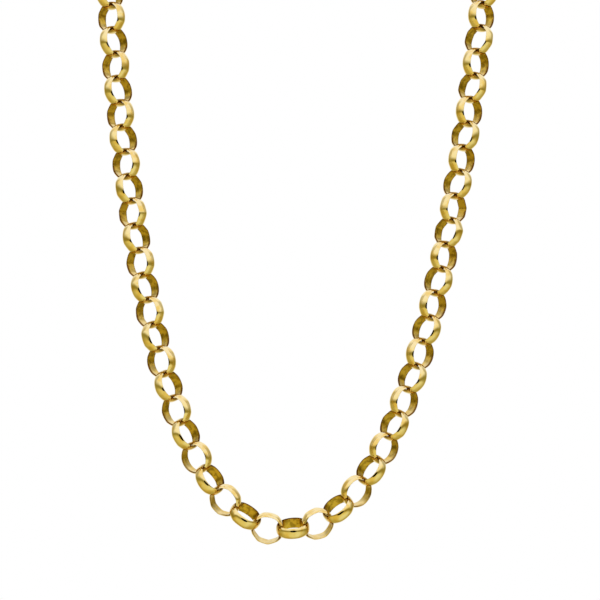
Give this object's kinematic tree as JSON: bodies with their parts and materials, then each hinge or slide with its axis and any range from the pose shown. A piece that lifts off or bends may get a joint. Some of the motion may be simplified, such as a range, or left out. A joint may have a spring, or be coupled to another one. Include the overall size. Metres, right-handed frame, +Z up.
{
  "type": "rolo chain necklace",
  "caption": "Necklace of round domed-band links that alternate by a quarter turn, hanging as round a neck and closed at the nape by a ring clasp.",
  "frame": {"origin": "at the nape, on the line through the centres of the links, where the chain lies on the back of the neck", "axes": "+Z up, +Y from the front towards the nape, so the front hangs at -Y and faces -Y; +X to the right of a viewer in front"},
  "size_m": [0.1038, 0.0839, 0.1962],
  "materials": {
    "polished_gold": "polished",
    "clasp_gold": "polished"
  },
  "bodies": {
    "root": {"chain_left": "polished_gold", "chain_right": "polished_gold", "clasp": "clasp_gold"}
  },
  "joints": []
}
